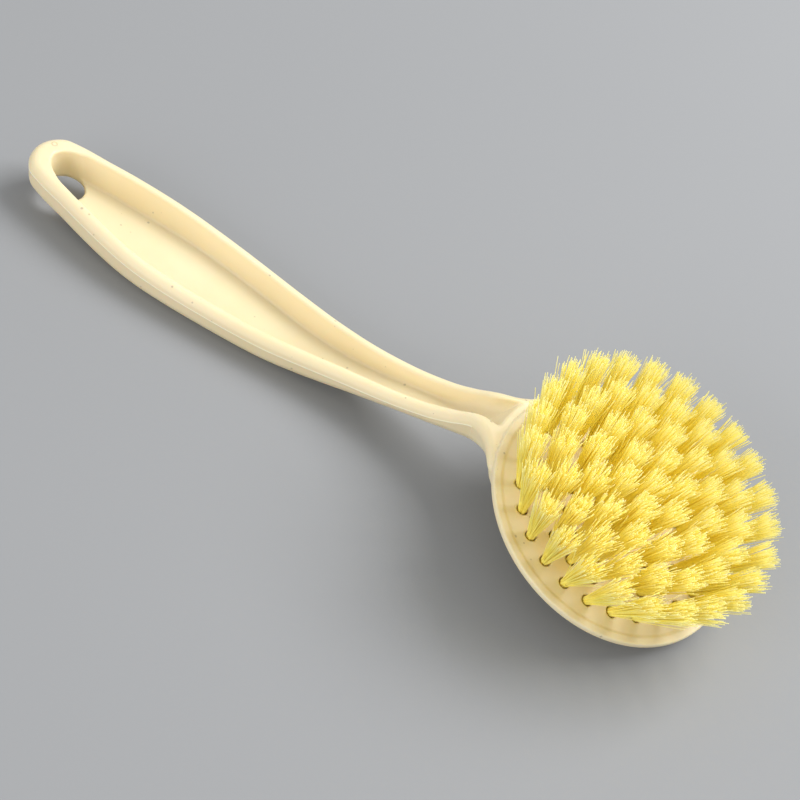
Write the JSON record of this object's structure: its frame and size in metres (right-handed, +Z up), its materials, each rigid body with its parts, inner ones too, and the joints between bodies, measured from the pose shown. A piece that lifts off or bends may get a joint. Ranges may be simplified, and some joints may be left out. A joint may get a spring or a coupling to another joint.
{
  "type": "round dish brush with long handle",
  "caption": "Long-handled round scrubbing brush: open trough grip with a hang hole, narrow neck and a flat round head full of splayed bristle tufts.",
  "frame": {"origin": "on the table, under the middle of the brush's overall box", "axes": "+X from the grip to the head along the handle, +Z up, out of the bristle side; the brush lies on its back"},
  "size_m": [0.2514, 0.084, 0.048],
  "materials": {
    "handle_plastic": "satin",
    "bristle_nylon": "satin"
  },
  "bodies": {
    "root": {"handle_body": "handle_plastic", "tuft_inner_02": "bristle_nylon", "tuft_inner_03": "bristle_nylon", "tuft_inner_04": "bristle_nylon", "tuft_inner_05": "bristle_nylon", "tuft_inner_06": "bristle_nylon", "tuft_outer_01": "bristle_nylon", "tuft_outer_02": "bristle_nylon", "tuft_outer_03": "bristle_nylon", "tuft_outer_04": "bristle_nylon", "tuft_outer_05": "bristle_nylon", "tuft_outer_06": "bristle_nylon", "tuft_outer_07": "bristle_nylon", "tuft_outer_08": "bristle_nylon", "tuft_outer_09": "bristle_nylon", "tuft_outer_10": "bristle_nylon", "tuft_outer_11": "bristle_nylon", "tuft_outer_12": "bristle_nylon", "tuft_outer_13": "bristle_nylon", "tuft_outer_14": "bristle_nylon", "tuft_outer_15": "bristle_nylon", "tuft_outer_16": "bristle_nylon", "tuft_outer_17": "bristle_nylon", "tuft_outer_18": "bristle_nylon", "tuft_outer_19": "bristle_nylon", "tuft_outer_20": "bristle_nylon", "tuft_outer_21": "bristle_nylon", "tuft_outer_22": "bristle_nylon", "tuft_outer_23": "bristle_nylon", "tuft_outer_24": "bristle_nylon", "tuft_second_01": "bristle_nylon", "tuft_second_02": "bristle_nylon", "tuft_second_03": "bristle_nylon", "tuft_second_04": "bristle_nylon", "tuft_second_05": "bristle_nylon", "tuft_second_06": "bristle_nylon", "tuft_second_07": "bristle_nylon", "tuft_second_08": "bristle_nylon", "tuft_second_09": "bristle_nylon", "tuft_second_10": "bristle_nylon", "tuft_second_11": "bristle_nylon", "tuft_second_12": "bristle_nylon", "tuft_third_01": "bristle_nylon", "tuft_third_02": "bristle_nylon", "tuft_third_03": "bristle_nylon", "tuft_third_04": "bristle_nylon", "tuft_third_05": "bristle_nylon", "tuft_third_06": "bristle_nylon", "tuft_third_07": "bristle_nylon", "tuft_third_08": "bristle_nylon", "tuft_third_09": "bristle_nylon", "tuft_third_10": "bristle_nylon", "tuft_third_11": "bristle_nylon", "tuft_third_12": "bristle_nylon", "tuft_third_13": "bristle_nylon", "tuft_third_14": "bristle_nylon", "tuft_third_15": "bristle_nylon", "tuft_third_16": "bristle_nylon", "tuft_third_17": "bristle_nylon", "tuft_third_18": "bristle_nylon"}
  },
  "joints": []
}
